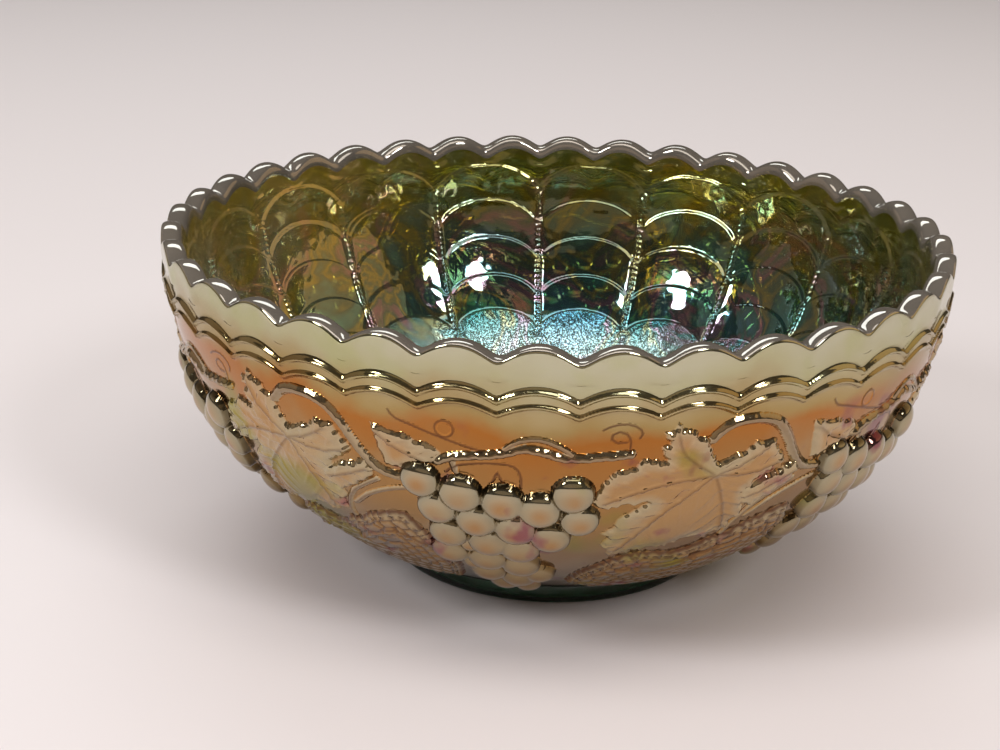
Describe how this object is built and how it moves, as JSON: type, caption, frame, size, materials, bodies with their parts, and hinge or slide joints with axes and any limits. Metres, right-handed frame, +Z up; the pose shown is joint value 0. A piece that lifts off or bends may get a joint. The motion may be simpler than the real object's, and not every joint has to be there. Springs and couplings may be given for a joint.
{
  "type": "glass bowl",
  "caption": "Round pressed-glass serving bowl on a collar foot, with a scalloped rim, grapevine relief outside and fish-scale panels inside, in iridescent green glass.",
  "frame": {"origin": "centre of the foot's underside, on the surface that the bowl stands on", "axes": "+Z up along the bowl's axis, -Y towards the side with the first grape cluster, +X to its right"},
  "size_m": [0.2228, 0.2228, 0.0976],
  "materials": {
    "lustre_glass": "iridescent marigold and silver lustre over green glass",
    "relief_glass": "satin iridescent lustre",
    "foot_glass": "clear deep green, polished"
  },
  "bodies": {
    "root": {"bowl_wall": "lustre_glass", "foot_ring": "foot_glass", "grape_cluster_1": "relief_glass", "grape_cluster_2": "relief_glass", "grape_cluster_3": "relief_glass", "grape_cluster_4": "relief_glass", "grape_cluster_5": "relief_glass", "grape_cluster_6": "relief_glass", "grape_leaf_1": "relief_glass", "grape_leaf_2": "relief_glass", "grape_leaf_3": "relief_glass", "grape_leaf_4": "relief_glass", "grape_leaf_5": "relief_glass", "grape_leaf_6": "relief_glass", "lower_leaf_1": "relief_glass", "lower_leaf_2": "relief_glass", "lower_leaf_3": "relief_glass", "lower_leaf_4": "relief_glass", "lower_leaf_5": "relief_glass", "lower_leaf_6": "relief_glass", "vine_1": "relief_glass", "vine_2": "relief_glass", "vine_3": "relief_glass", "vine_4": "relief_glass", "vine_5": "relief_glass", "vine_6": "relief_glass", "stem_1": "relief_glass", "stem_2": "relief_glass", "stem_3": "relief_glass", "stem_4": "relief_glass", "stem_5": "relief_glass", "stem_6": "relief_glass"}
  },
  "joints": []
}
